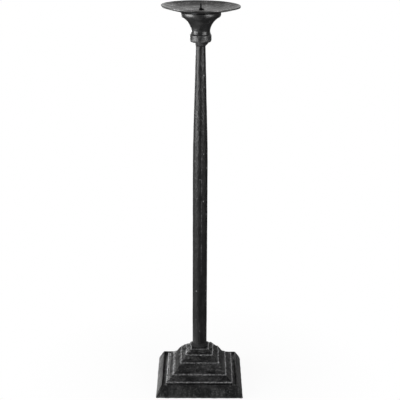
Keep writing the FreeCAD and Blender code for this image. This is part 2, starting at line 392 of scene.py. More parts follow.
def node_group(name, kind, inputs, outputs):
    """Decorates a function that fills a node group and returns what its outputs take.

    The decorated function builds the group with its named sockets once, and gives its tree.
    """
    def decorate(fill):
        @functools.wraps(fill)
        def find_or_build():
            if name in bpy.data.node_groups:
                return bpy.data.node_groups[name]
            tree = bpy.data.node_groups.new(name, kind)
            for in_out, sockets in (("INPUT", inputs), ("OUTPUT", outputs)):
                for title, socket_kind, value in sockets:
                    socket_type = "NodeSocket" + socket_kind
                    socket = tree.interface.new_socket(title, in_out=in_out, socket_type=socket_type)
                    if value is not None:
                        socket.default_value = value
            given = fields(tree, add(tree, "NodeGroupInput", {}))
            result = add(tree, "NodeGroupOutput", {})
            for socket, value in zip(result.inputs, fill(tree, given)):
                feed(socket, value)
            return tree
        return find_or_build
    return decorate


def floats(values):
    """Number sockets with their defaults."""
    return [(name, "Float", value) for name, value in values.items()]


GEOMETRY = [("Geometry", "Geometry", None)]

GRID_INPUTS = [("Columns", "Int", 64), ("Rows", "Int", 64), ("Material", "Material", None)]

PROFILE_INPUTS = [("Profile", "Object", None)] + GRID_INPUTS

SKIN_INPUTS = floats({
    "Lump Size": 12.0 * MM,
    "Lump Depth": 0.3 * MM,
    "Pit Size": 4.0 * MM,
    "Pit Depth": 0.2 * MM,
    "Seed": 0.0,
})

TURNED_INPUTS = floats({
    "Thread From": 0.0,
    "Thread To": 0.0,
    "Thread Pitch": 1.0 * MM,
    "Thread Depth": 0.0,
    "Seam Angle": 0.0,
    "Seam Width": 1.0 * MM,
    "Seam Height": 0.0,
    "Seam From": 0.0,
    "Seam To": 1.0,
    "Tilt": 0.0,
    "Tilt From": 0.0,
    "Tilt To": 1.0,
})

FOOT_INPUTS = floats({
    "Corner Round": 1.0 * MM,
    # The corner, front and right shares of the rubbed colour are painted edge highlights
    "Corner Wear": 1.0,
    "Front Wear": 0.6,
    "Right Wear": 1.0,
    "Lug Place": 50.0 * MM,
    "Lug Radius": 9.0 * MM,
    "Lug Bottom": 2.5 * MM,
    "Lug Top": 12.8 * MM,
})

WELD_INPUTS = floats({
    "Low Radius": 7.0 * MM,
    "Low Height": 0.0,
    "Low Shift": 0.0,
    "High Radius": 10.0 * MM,
    "High Height": 5.0 * MM,
    "High Shift": 0.0,
    "Bulge": 0.6 * MM,
    "Core": 4.0 * MM,
    "Ripples": 26.0,
    "Ripple Depth": 0.3 * MM,
    "Drip Angle": 0.0,
    "Drip Width": 0.4,
    "Drip Length": 0.0,
})

PAD_INPUTS = floats({"Pad Place": 50.0 * MM, "Fuzz": 0.1 * MM})

GRAIN_INPUTS = [("Vector", "Vector", None), ("Stretch", "Vector", (1.0, 1.0, 1.0))]
GRAIN_INPUTS += floats({"Grain Size": 1.2 * MM, "Skin Size": 3.0 * MM, "Blotch Size": 10.0 * MM})

GRAIN_OUTPUTS = floats({"Blotch": None, "Skin": None, "Grain": None, "Chip": None})

RUB_INPUTS = [("Vector", "Vector", None)] + floats({"Amount": 0.5, "Patch Size": 4.0 * MM})


def stored(geometry, name, value):
    """Keeps a number on each point of a mesh."""
    values = {"Geometry": geometry, "Name": name, "Value": value}
    return output(geometry.tree, "GeometryNodeStoreNamedAttribute", values, data_type="FLOAT",
                  domain="POINT")


def roughened(geometry, height):
    """Moves each point along its normal, and leaves the mesh smooth and without its lumps attribute."""
    tree = geometry.tree
    offset = scaled(output(tree, "GeometryNodeInputNormal"), height)
    moved = output(tree, "GeometryNodeSetPosition", {"Geometry": geometry, "Offset": offset})
    plain = output(tree, "GeometryNodeRemoveAttribute", {"Geometry": moved, "Name": "lumps"})
    return output(tree, "GeometryNodeSetShadeSmooth", {"Geometry": plain})


@node_group("Cast skin", "GeometryNodeTree", GEOMETRY + SKIN_INPUTS, GEOMETRY)
def cast_skin_group(tree, given):
    """Lumps and pits of a sand casting, as deep as the attribute lumps allows."""
    place = output(tree, "GeometryNodeInputPosition")
    wave = noise(place, 1.0 / given["Lump Size"], detail=3.0, seed=given["Seed"]) - 0.5
    allowed = output(tree, "GeometryNodeInputNamedAttribute", {"Name": "lumps"}, data_type="FLOAT")
    lump = wave * 2.0 * given["Lump Depth"] * allowed
    distance, chance = cells(place, 1.0 / given["Pit Size"], given["Seed"])
    pit = ramp_down(distance, 0.15, 0.45) * ramp_up(chance, 0.55, 1.0)
    return [roughened(given["Geometry"], lump - pit * given["Pit Depth"])]


def skinned(geometry, given):
    """Gives a casting its skin."""
    values = {"Geometry": geometry, **{name: given[name] for name, _, _ in SKIN_INPUTS}}
    return output(geometry.tree, "GeometryNodeGroup", values, node_tree=cast_skin_group())


def painted(geometry, material):
    """Ends a tree in plain mesh with its material."""
    real = output(geometry.tree, "GeometryNodeRealizeInstances", {"Geometry": geometry})
    return output(geometry.tree, "GeometryNodeSetMaterial", {"Geometry": real, "Material": material})


def unit_grid(tree, given):
    """A grid of Columns and Rows: its mesh, and how far along and across each point lies, from 0 to 1."""
    values = {"Size X": 1.0, "Size Y": 1.0, "Vertices X": given["Columns"] + 1, "Vertices Y": given["Rows"]}
    grid = fields(tree, add(tree, "GeometryNodeMeshGrid", values))
    along, across, _ = split(grid["UV Map"])
    return grid["Mesh"], along, across


def profile_grid(tree, given):
    """A grid with one row for each point of the profile.

    Gives the mesh with its lumps stored, the share round the piece, that point and how far it is worn, on
    the foot partly as painted edge highlight.
    """
    mesh, around, across = unit_grid(tree, given)
    row = calc("ROUND", across * (given["Rows"] - 1))
    profile = output(tree, "GeometryNodeObjectInfo", {"Object": given["Profile"]}, key="Geometry")

    def read(source, kind="FLOAT"):
        values = {"Geometry": profile, "Value": output(tree, source), "Index": row}
        return output(tree, "GeometryNodeSampleIndex", values, data_type=kind, domain="POINT")

    point = read("GeometryNodeInputPosition", "FLOAT_VECTOR")
    wear = read("GeometryNodeInputRadius")
    mesh = stored(mesh, "lumps", read("GeometryNodeInputCurveTilt"))
    return mesh, around, point, wear


def closed(mesh, place):
    """Moves a grid into place and welds its seam."""
    seam_gap = 2e-6
    moved = output(mesh.tree, "GeometryNodeSetPosition", {"Geometry": mesh, "Position": place})
    return output(mesh.tree, "GeometryNodeMergeByDistance", {"Geometry": moved, "Distance": seam_gap})


def at_corners(shape, reach, height=0.0):
    """A shape at the four corners of a level square."""
    tree = shape.tree
    side = reach * 2.0
    values = {"Size X": side, "Size Y": side, "Vertices X": 2, "Vertices Y": 2}
    corners = output(tree, "GeometryNodeMeshGrid", values, key="Mesh")
    lift = combine(tree, Z=height)
    raised = output(tree, "GeometryNodeSetPosition", {"Geometry": corners, "Offset": lift})
    placed = output(tree, "GeometryNodeInstanceOnPoints", {"Points": raised, "Instance": shape})
    return output(tree, "GeometryNodeRealizeInstances", {"Geometry": placed})


def thread_groove(around, height, given):
    """How deep a screw thread cuts."""
    wave = calc("PINGPONG", height / given["Thread Pitch"] - around, 0.5)
    above = calc("GREATER_THAN", height, given["Thread From"])
    below = calc("LESS_THAN", height, given["Thread To"])
    return wave * 2.0 * given["Thread Depth"] * (above * below)


def seam_ridge(radius, angle, height, given):
    """1 on the two parting seams of the mould, which are broken in places and dressed off at their ends."""
    break_scale = 60.0
    dressed_length = 30.0 * MM
    off = calc("PINGPONG", angle - given["Seam Angle"], math.pi / 2)
    crest = ramp_down(off * radius / given["Seam Width"], 0.0, 1.0)
    breaks = noise(combine(height.tree, Z=height), break_scale, detail=3.0, seed=given["Seed"])
    from_end = calc("MINIMUM", height - given["Seam From"], given["Seam To"] - height)
    whole = ramp_up(breaks, 0.4, 0.6) * ramp_up(from_end, 0.0, dressed_length)
    return crest * whole * calc("GREATER_THAN", given["Seam Height"], 0.0)


@node_group("Turned casting", "GeometryNodeTree", PROFILE_INPUTS + SKIN_INPUTS + TURNED_INPUTS, GEOMETRY)
def turned_tree(tree, given):
    """A profile swept round Z, with a screw thread, parting seams and a tilt where they are asked for."""
    seam_wear = 0.4
    mesh, around, point, wear = profile_grid(tree, given)
    radius, zone, height = split(point)
    angle = around * FULL_TURN
    radius = radius - thread_groove(around, height, given)
    ridge = seam_ridge(radius, angle, height, given)
    radius = radius + ridge * given["Seam Height"]
    x, y = circle(radius, angle)
    dip = x * given["Tilt"] * ramp_up(radius, given["Tilt From"], given["Tilt To"])
    mesh = stored(mesh, "rub", calc("MAXIMUM", wear, ridge * seam_wear))
    mesh = stored(mesh, "zone", zone)
    shell = closed(mesh, combine(tree, X=x, Y=y, Z=height - dip))
    return [painted(skinned(shell, given), given["Material"])]


@node_group("Stepped casting", "GeometryNodeTree", PROFILE_INPUTS + SKIN_INPUTS + FOOT_INPUTS, GEOMETRY)
def stepped_tree(tree, given):
    """A profile swept round a square with mitred corners, and four lugs for the pads."""
    mesh, around, point, wear = profile_grid(tree, given)
    half, roundness, height = split(point)

    # Side 0 is the front and side 1 the right; points bunch towards the corners
    slack = 1e-5
    sides = around * 4.0
    side = calc("FLOOR", sides + slack)
    along = (sides - side) * 2.0 - 1.0
    along = (along + calc("SINE", along * (math.pi / 2))) * 0.5

    # Each side ends in half of a rounded corner
    soft = calc("MINIMUM", given["Corner Round"], half * 0.5)
    straight = half - soft
    reach = calc("ABSOLUTE", along) * half
    past = calc("MAXIMUM", reach - straight, 0.0) / soft
    bend = past * (math.pi / 4)
    across = calc("SIGN", along) * (calc("MINIMUM", reach, straight) + soft * calc("SINE", bend))
    depth = straight + soft * calc("COSINE", bend)
    flat = combine(tree, X=across, Y=depth * -1.0)
    turn = {"Vector": flat, "Angle": side * (math.pi / 2)}
    square = output(tree, "ShaderNodeVectorRotate", turn, rotation_type="Z_AXIS")

    # The socket and the bolt hole are round
    ring = scaled(vec("NORMALIZE", square), half)
    shift = scaled(vec("SUBTRACT", ring, square), roundness)
    place = vec("ADD", vec("ADD", square, shift), combine(tree, Z=height))

    # Painted edge highlight: the rubbed colour is shared out by side, less on the front, more on the right,
    # and in full on the mitred corners, whose tips catch the light
    side_light = mix(calc("COMPARE", side, 1.0, 0.5), 1.0, given["Right Wear"])
    side_light = mix(calc("LESS_THAN", side, 0.5), side_light, given["Front Wear"])
    side_light = calc("MAXIMUM", side_light, past * given["Corner Wear"])
    shell = closed(stored(mesh, "rub", wear * side_light), place)

    lug_height = given["Lug Top"] - given["Lug Bottom"]
    lug_values = {"Vertices": 40, "Radius": given["Lug Radius"], "Depth": lug_height}
    lug = output(tree, "GeometryNodeMeshCylinder", lug_values, key="Mesh")
    lugs = at_corners(lug, given["Lug Place"], (given["Lug Top"] + given["Lug Bottom"]) * 0.5)
    union = add(tree, "GeometryNodeMeshBoolean", {}, operation="UNION", solver="MANIFOLD")
    feed(union.inputs["Mesh 2"], shell)
    feed(union.inputs["Mesh 2"], lugs)
    return [painted(skinned(Field(tree, union.outputs["Mesh"]), given), given["Material"])]


@node_group("Weld bead", "GeometryNodeTree", GRID_INPUTS + SKIN_INPUTS + WELD_INPUTS, GEOMETRY)
def weld_tree(tree, given):
    """A run of weld round a rod: rippled bead between a low and a high circle, with one drip."""
    wander_scale = 2.0
    wander_beats = 9.0
    mesh, around, across = unit_grid(tree, given)
    angle = around * FULL_TURN
    cosine, sine = calc("COSINE", angle), calc("SINE", angle)

    # The section goes up the outside and comes back down inside the rod
    loop = across * 2.0
    back = calc("GREATER_THAN", loop, 1.0)
    up = calc("PINGPONG", loop, 1.0)
    swell = calc("SINE", up * math.pi)
    wander = noise(combine(tree, X=cosine, Y=sine), wander_scale, detail=2.0, seed=given["Seed"])
    ripple = calc("ABSOLUTE", calc("SINE", angle * (given["Ripples"] / 2.0) + wander * wander_beats))
    outer = swell * (given["Bulge"] + ripple * given["Ripple Depth"])
    inner = swell * (given["Core"] * -1.0)
    radius = mix(up, given["Low Radius"], given["High Radius"]) + mix(back, outer, inner)
    shift = mix(up, given["Low Shift"], given["High Shift"])

    off = (angle - given["Drip Angle"]) / given["Drip Width"]
    drip = calc("EXPONENT", off * off * -1.0) * given["Drip Length"]
    height = mix(up, given["Low Height"] - drip, given["High Height"])
    mesh = stored(mesh, "lumps", 1.0)
    mesh = stored(mesh, "rub", ripple * swell * (1.0 - back))
    bead = closed(mesh, combine(tree, X=radius * cosine + shift, Y=radius * sine, Z=height))
    return [painted(skinned(bead, given), given["Material"])]


@node_group("Felt pads", "GeometryNodeTree", PROFILE_INPUTS + PAD_INPUTS, GEOMETRY)
def pad_tree(tree, given):
    """Four pressed felt pads: one soft-edged disc set on each lug."""
    fibre_scale = 900.0
    mesh, around, point, _ = profile_grid(tree, given)
    radius, _, height = split(point)
    x, y = circle(radius, around * FULL_TURN)
    pads = at_corners(closed(mesh, combine(tree, X=x, Y=y, Z=height)), given["Pad Place"])
    place = output(tree, "GeometryNodeInputPosition")
    fuzz = (noise(place, fibre_scale, detail=2.0) - 0.5) * given["Fuzz"]
    return [painted(roughened(pads, fuzz), given["Material"])]


class Corner(NamedTuple):
    """A corner of a profile.

    Zone is 1 where the foot is round and not square. On a turned piece it is the share of that piece's
    second finish: brushed inside the pan, dull with grime on the column and the collar.
    """
    across: float
    up: float
    rounding: float = 0.0
    zone: float = 0.0
    # Wear is rubbed bare metal, and on the foot's tier edges partly painted highlight
    wear: float = 0.0
    lumps: float = 1.0

    def mixed(self, other, part):
        return Corner(*[a + (b - a) * part for a, b in zip(self, other)])

    def distance(self, other):
        return math.hypot(other.across - self.across, other.up - self.up)


def bow(start, middle, end, count=10, **values):
    """Corners of a smooth bow from start to end through middle."""
    pull = [2 * m - (s + e) / 2 for s, m, e in zip(start, middle, end)]
    corners = []
    for step in range(count + 1):
        t = step / count
        spot = [(1 - t) ** 2 * s + 2 * t * (1 - t) * p + t ** 2 * e for s, p, e in zip(start, pull, end)]
        corners.append(Corner(*spot, **values))
    return corners


def soften(corners, step, segments=4):
    """Rounds the corners of a chain and divides its runs into short steps."""
    longest_cut = 0.45
    chain = [corners[0]]
    for before, corner, after in zip(corners, corners[1:], corners[2:]):
        back, ahead = corner.distance(before), corner.distance(after)
        cut = min(corner.rounding, longest_cut * back, longest_cut * ahead)
        if cut <= 0:
            chain.append(corner)
            continue
        first, last = corner.mixed(before, cut / back), corner.mixed(after, cut / ahead)
        for part in range(segments + 1):
            t = part / segments
            spot = first.mixed(corner, t).mixed(corner.mixed(last, t), t)
            chain.append(spot._replace(wear=corner.wear))
    chain.append(corners[-1])
    points = [chain[0]]
    for end in chain[1:]:
        start = points[-1]
        parts = max(1, math.ceil(start.distance(end) / step))
        points += [start.mixed(end, part / parts)._replace(wear=0.0) for part in range(1, parts)]
        points.append(end)
    return points


def joined(*runs):
    """One profile from runs of corners that follow each other, each with its own step."""
    points = []
    for corners, step in runs:
        points = points[:-1] + soften(corners, step)
    return points


def new_object(name, data):
    """An object at the origin, shown in the scene."""
    made = bpy.data.objects.new(name, data)
    bpy.context.scene.collection.objects.link(made)
    return made


def profile_object(points):
    """A curve that carries a profile to its tree: the radius holds the wear, with the foot's painted edge
    highlights, and the tilt the lumps.
    """
    curve = bpy.data.curves.new("profile", "CURVE")
    curve.dimensions = "3D"
    spline = curve.splines.new("POLY")
    spline.points.add(len(points) - 1)
    for spot, point in zip(spline.points, points):
        spot.co = (point.across, point.zone, point.up, 1.0)
        spot.radius = point.wear
        spot.tilt = point.lumps
    return new_object("profile", curve)


def grow(name, tree, values, profile=None):
    """Runs a tree on an empty mesh and keeps its result as a plain mesh."""
    piece = new_object(name, bpy.data.meshes.new(name))
    holder = None
    if profile is not None:
        holder = profile_object(profile)
        values = {**values, "Profile": holder, "Rows": len(profile)}
    modifier = piece.modifiers.new(tree.name, "NODES")
    modifier.node_group = tree
    for item in tree.interface.items_tree:
        if item.item_type == "SOCKET" and item.in_out == "INPUT" and item.name in values:
            modifier[item.identifier] = values[item.name]
    layers = bpy.context.evaluated_depsgraph_get()
    evaluated = piece.evaluated_get(layers)
    made = bpy.data.meshes.new_from_object(evaluated, preserve_all_data_layers=True, depsgraph=layers)
    piece.modifiers.remove(modifier)
    piece.data = made
    made.name = name
    made.materials.clear()
    made.materials.append(values["Material"])
    if holder is not None:
        bpy.data.objects.remove(holder)
    if not made.polygons:
        raise RuntimeError(name + " came out empty")
    return piece


def settle(piece, body, slot, *nodes):
    """Gives a finished piece its place in the frame."""
    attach(piece, body)
    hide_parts(*nodes)


@node_group("Cast grain", "ShaderNodeTree", GRAIN_INPUTS, GRAIN_OUTPUTS)
def grain_group(tree, given):
    """Mottling of a blackened casting: broad blotches, a hammered skin, fine grain and bright chips."""
    place = given["Vector"]
    drawn = vec("MULTIPLY", place, given["Stretch"])
    skin_scale = 1.0 / given["Skin Size"]
    blotch = ramp_up(noise(drawn, 1.0 / given["Blotch Size"], detail=4.0, seed=1.7), 0.45, 0.6)
    skin = ramp_up(noise(drawn, skin_scale, detail=3.0, seed=6.2), 0.3, 0.7)
    grain = noise(place, 1.0 / given["Grain Size"], detail=4.0, seed=4.1)
    distance, chance = cells(place, skin_scale * 0.6)
    chip = ramp_down(distance, 0.12, 0.24) * calc("GREATER_THAN", chance, 0.93)
    return [blotch, skin, grain, chip]


def attribute(tree, name):
    """A number that a piece's mesh carries."""
    return output(tree, "ShaderNodeAttribute", key="Fac", attribute_name=name)


@node_group("Rubbed edges", "ShaderNodeTree", RUB_INPUTS, floats({"Mask": None}))
def rub_and_glint_group(tree, given):
    """Bare metal where hands and cloths wear the edges, broken up by noise; on the foot it also paints edge
    highlights.
    """
    patch = noise(given["Vector"], 1.0 / given["Patch Size"], detail=4.0, seed=7.7)
    return [attribute(tree, "rub") * between(patch, 0.42, 0.58, 0.15, 1.1) * given["Amount"]]


def grouped(group, place, values):
    """Places a shader group in a material and gives its outputs by name."""
    node = add(place.tree, "ShaderNodeGroup", {"Vector": place, **values}, node_tree=group)
    return fields(place.tree, node)


def rgba(value, brightness=1.0):
    return tuple(brightness * part for part in value) + (1.0,)


def empty_tree(owner):
    """The node tree of a material or a world, with nothing in it."""
    owner.use_nodes = True
    owner.node_tree.nodes.clear()
    return owner.node_tree


def blank_material(name):
    """A new material, its shader's inputs and the place on the object."""
    material = bpy.data.materials.new(name)
    tree = empty_tree(material)
    shader = add(tree, "ShaderNodeBsdfPrincipled", {})
    add(tree, "ShaderNodeOutputMaterial", {"Surface": Field(tree, shader.outputs[0])})
    return material, shader.inputs, output(tree, "ShaderNodeTexCoord", key="Object")


def relief(height, strength, distance):
    """A normal that shows a height."""
    values = {"Height": height, "Strength": strength, "Distance": distance}
    return output(height.tree, "ShaderNodeBump", values)


class Iron(NamedTuple):
    """The finish of an iron piece.

    It is smoother where the black is thin than where it is thick. Pale is how bright the thin places are,
    grime the roughness of the dirty zones, and stretch how the mottling is drawn out, on the skirt in its
    own way.
    """
    name: str
    thin_rough: float
    thick_rough: float
    skin_size: float
    bump: float
    pale: float = 1.0
    rub: float = 0.85
    gloss: float = 0.5
    chips: float = 0.0
    grime: float = 0.0
    stretch: tuple = (1.0, 1.0, 1.0)
    skirt_stretch: tuple = None
    brushed: bool = False


# Streaks run level round the foot's tiers, upright on its skirt, up the column and across the pan
FOOT_IRON = Iron("blackened foot", thin_rough=0.24, thick_rough=0.42, skin_size=3.0 * MM, bump=0.5 * MM,
                 pale=1.4, gloss=0.3, stretch=(0.6, 0.6, 1.5), skirt_stretch=(0.9, 0.9, 0.3))
COLUMN_IRON = Iron("blackened column", thin_rough=0.26, thick_rough=0.42, skin_size=3.0 * MM,
                   bump=0.35 * MM, pale=0.6, chips=0.6, grime=0.8, stretch=(1.3, 1.3, 0.4))
COLLAR_IRON = Iron("blackened collar", thin_rough=0.2, thick_rough=0.34, skin_size=3.0 * MM, bump=0.2 * MM,
                   pale=0.7, gloss=0.85, grime=0.8)
PAN_IRON = Iron("brushed pan", thin_rough=0.04, thick_rough=0.32, skin_size=4.5 * MM, bump=0.12 * MM,
                stretch=(-0.7, 1.4, 1.0), brushed=True)
WELD_IRON = Iron("blackened weld", thin_rough=0.35, thick_rough=0.55, skin_size=1.5 * MM, bump=0.2 * MM,
                 rub=0.1, gloss=0.25)
SPIKE_IRON = Iron("blackened spike", thin_rough=0.3, thick_rough=0.45, skin_size=1.2 * MM, bump=0.05 * MM,
                  rub=0.0)

SKIRT_STREAKS_TOP = BOTTOM + 17.8 * MM
GRAIN_TO_SKIN = 0.6
BLOTCH_TO_SKIN = 3.5
PATCH_TO_SKIN = 0.75
BARE_METAL = 0.6
BRUSHED_METAL = 0.6
BRUSHED_THIN = 0.22
PAN_OUTSIDE_ROUGH = 0.55
GRAIN_RELIEF = 0.3
BLOTCH_LIGHT = 0.5


def iron_material(iron):
    """Blackened iron: mottled colour, uneven sheen, hammered skin, rubbed edges and chips."""
    finish = bpy.context.scene.candlestick_finish
    material, shader, place = blank_material(iron.name)
    stretch = iron.stretch
    if iron.skirt_stretch is not None:
        on_skirt = calc("LESS_THAN", split(place)[2], SKIRT_STREAKS_TOP)
        stretch = mix_vector(on_skirt, stretch, iron.skirt_stretch)
    grain = grouped(grain_group(), place, {
        "Stretch": stretch,
        "Grain Size": GRAIN_TO_SKIN * iron.skin_size,
        "Skin Size": iron.skin_size,
        "Blotch Size": BLOTCH_TO_SKIN * iron.skin_size,
    })
    rubbed = grouped(rub_and_glint_group(), place, {
        "Amount": iron.rub * finish.rub_and_glint_amount,
        "Patch Size": PATCH_TO_SKIN * iron.skin_size,
    })
    # Mask of worn bare metal and, on the foot, painted edge highlights
    bare = calc("MAXIMUM", rubbed["Mask"], grain["Chip"] * iron.chips)
    speckle = between(grain["Grain"], 0.54, 0.62, 0.0, 2.0)
    fleck = speckle * between(grain["Blotch"], 0.0, 1.0, 0.4, 1.0)
    hammered = between(grain["Skin"], 0.1, 0.9, 0.2, 0.8)
    mottle = (grain["Blotch"] * BLOTCH_LIGHT + fleck) * hammered
    base = mix_colour(mottle, rgba(finish.iron), rgba(finish.iron_pale, iron.pale))
    metal = bare * BARE_METAL
    sheen = between(mottle, 0.0, 1.0, iron.thick_rough, iron.thin_rough)
    if iron.brushed:
        inside = attribute(place.tree, "zone")
        brushed = mix_colour(mottle, rgba(finish.pan_iron, BRUSHED_THIN), rgba(finish.pan_iron))
        base = mix_colour(inside, base, brushed)
        metal = calc("MAXIMUM", metal, inside * BRUSHED_METAL)
        sheen = calc("MAXIMUM", sheen, (1.0 - inside) * PAN_OUTSIDE_ROUGH)
    elif iron.grime > 0.0:
        sheen = calc("MAXIMUM", sheen, attribute(place.tree, "zone") * iron.grime)
    feed(shader["Base Color"], mix_colour(bare, base, rgba(finish.rubbed)))
    feed(shader["Roughness"], sheen)
    feed(shader["Metallic"], metal)
    feed(shader["Specular IOR Level"], iron.gloss)
    surface = grain["Skin"] + grain["Grain"] * GRAIN_RELIEF
    feed(shader["Normal"], relief(surface, strength=1.0, distance=iron.bump))
    return material


def plated_material(name, tint, fine_rough, coarse_rough):
    """Plated or oiled steel with a faint brushed cloud."""
    dull = 0.72
    material, shader, place = blank_material(name)
    marks = {"Grain Size": 0.4 * MM, "Skin Size": 1.0 * MM, "Blotch Size": 3.0 * MM}
    grain = grouped(grain_group(), place, marks)
    feed(shader["Base Color"], mix_colour(grain["Blotch"], rgba(tint, dull), rgba(tint)))
    feed(shader["Roughness"], between(grain["Grain"], 0.3, 0.7, fine_rough, coarse_rough))
    feed(shader["Metallic"], 1.0)
    feed(shader["Normal"], relief(grain["Grain"], strength=0.3, distance=0.05 * MM))
    return material


def felt_material():
    """Pressed wool: fine fibres over a broad cloud."""
    fibre_scale = 2600.0
    cloud_scale = 320.0
    fibre_light = 1.9
    felt = bpy.context.scene.candlestick_finish.felt
    material, shader, place = blank_material("pressed felt")
    fibres = noise(place, fibre_scale, detail=5.0, seed=2.3)
    cloud = noise(place, cloud_scale, detail=3.0, seed=5.9)
    light = ramp_up(fibres * cloud, 0.15, 0.4)
    feed(shader["Base Color"], mix_colour(light, rgba(felt), rgba(felt, fibre_light)))
    feed(shader["Roughness"], 0.95)
    feed(shader["Specular IOR Level"], 0.2)
    feed(shader["Normal"], relief(fibres, strength=0.7, distance=0.3 * MM))
    return material


def make_camera(scene):
    """The camera that took the photograph."""
    data = bpy.data.cameras.new("camera")
    data.sensor_width = SENSOR_WIDTH
    data.lens = FOCAL_PIXELS / IMAGE_WIDTH * SENSOR_WIDTH
    camera = new_object("camera", data)
    tip = Matrix.Rotation(math.pi / 2 - CAMERA_PITCH, 4, "X")
    camera.matrix_world = Matrix.Translation(CAMERA_PLACE) @ tip @ Matrix.Rotation(CAMERA_ROLL, 4, "Z")
    scene.camera = camera


def seen_rays(tree):
    """1 for the camera's own rays, and 1 for those that gloss or glass sends."""
    path = fields(tree, add(tree, "ShaderNodeLightPath", {}))
    return path["Is Camera Ray"], calc("MAXIMUM", path["Is Glossy Ray"], path["Is Transmission Ray"])


def make_world(scene, settings):
    """White to the eye, dim to gloss apart from a low glow behind, with an even fill."""
    scene.world = bpy.data.worlds.new("studio")
    tree = empty_tree(scene.world)
    camera_ray, mirrored = seen_rays(tree)
    x, y, z = split(output(tree, "ShaderNodeTexCoord", key="Generated"))
    low_behind = ramp_down(z, 0.05, 0.75) * ramp_up(y, 0.0, 0.7)
    middle = between(x, -0.12, 0.12, 0.62, 1.0) * between(x, 0.12, 0.25, 1.0, 0.4)
    gloss = low_behind * middle * settings.backdrop + settings.dim
    strength = mix(camera_ray, mix(mirrored, settings.fill, gloss), 1.0)
    sky = output(tree, "ShaderNodeBackground", {"Color": WHITE, "Strength": strength})
    add(tree, "ShaderNodeOutputWorld", {"Surface": sky})


def floor_gloss(place, distance, settings):
    """What gloss sees of the floor: dim, with glows close by, at the sides and some way behind."""
    x, y, _ = split(vec("NORMALIZE", place))
    left = between(x, -0.55, -0.15, settings.left_glow, 0.0)
    right = between(x, 0.35, 0.75, 0.0, settings.right_glow)
    sides = (left + right) * between(y, 0.0, 0.6, 1.0, 0.15) + settings.dim
    near = between(distance, 0.12, 0.2, settings.near_glow, 0.0) * between(x, -0.3, 0.3, 1.0, 0.35)
    ring = between(distance, 0.35, 0.5, 0.0, settings.paper_glow) * ramp_down(distance, 0.6, 0.75)
    behind = ring * ramp_up(y, 0.0, 0.4)
    gloss = calc("MAXIMUM", calc("MAXIMUM", sides, near), behind)
    return gloss * between(x, -0.4, 0.3, 1.4, 0.8)


def make_floor(settings):
    """A pale floor that keeps a soft shadow near the object and runs out to white."""
    reach = 8.0
    level = -0.1 * MM
    grey = (0.86, 0.86, 0.86, 1.0)
    corners = [(x * reach, y * reach, level) for x, y in ((-1, -1), (1, -1), (1, 1), (-1, 1))]
    mesh = bpy.data.meshes.new("floor")
    mesh.from_pydata(corners, [], [(0, 1, 2, 3)])
    floor = new_object("floor", mesh)
    material = bpy.data.materials.new("floor")
    tree = empty_tree(material)
    camera_ray, mirrored = seen_rays(tree)
    place = output(tree, "ShaderNodeTexCoord", key="Object")
    distance = output(tree, "ShaderNodeVectorMath", {"Vector": place}, key="Value", operation="LENGTH")
    white = between(distance, 0.07, 0.3, 0.93, 1.0)
    strength = mix(mirrored, 1.0, floor_gloss(place, distance, settings))
    glow = output(tree, "ShaderNodeEmission", {"Color": WHITE, "Strength": strength})
    paper = output(tree, "ShaderNodeBsdfDiffuse", {"Color": grey})
    shown = calc("MAXIMUM", white * camera_ray, mirrored)
    blend = output(tree, "ShaderNodeMixShader", {0: shown, 1: paper, 2: glow})
    add(tree, "ShaderNodeOutputMaterial", {"Surface": blend})
    mesh.materials.append(material)


class SoftBox(NamedTuple):
    """A light that hangs so many degrees round the object, to the right of the camera."""
    name: str
    power: float
    azimuth: float
    distance: float
    height: float
    width: float
    depth: float


def make_lights(settings):
    """Soft boxes on the left and the right of the camera, and two weak ones behind."""
    aim = Vector((0.0, 0.0, 0.34))
    boxes = [
        SoftBox("left_light", settings.left_power, azimuth=-66.0, distance=1.1, height=0.48,
                width=0.9, depth=0.62),
        SoftBox("right_light", settings.right_power, azimuth=48.0, distance=1.1, height=0.6,
                width=0.6, depth=0.5),
        SoftBox("back_light", settings.back_power, azimuth=-160.0, distance=1.2, height=0.36,
                width=0.6, depth=0.2),
        SoftBox("far_light", settings.far_power, azimuth=160.0, distance=1.2, height=0.27,
                width=0.6, depth=0.2),
    ]
    for box in boxes:
        data = bpy.data.lights.new(box.name, "AREA")
        data.shape = "RECTANGLE"
        data.size = box.width
        data.size_y = box.depth
        data.energy = box.power
        light = new_object(box.name, data)
        light.visible_camera = False
        turn = math.radians(box.azimuth)
        light.location = (box.distance * math.sin(turn), -box.distance * math.cos(turn), box.height)
        light.rotation_euler = (aim - light.location).to_track_quat("-Z", "Y").to_euler()


class CANDLESTICK_OT_stage(bpy.types.Operator):
    """Set the floor, the studio light and the photograph's camera"""

    bl_idname = "candlestick.stage"
    bl_label = "Stage"

    def execute(self, context):
        scene = context.scene
        scene.view_settings.view_transform = "Standard"
        settings = scene.candlestick_stage
        make_camera(scene)
        make_world(scene, settings)
        make_floor(settings)
        make_lights(settings)
        return {"FINISHED"}


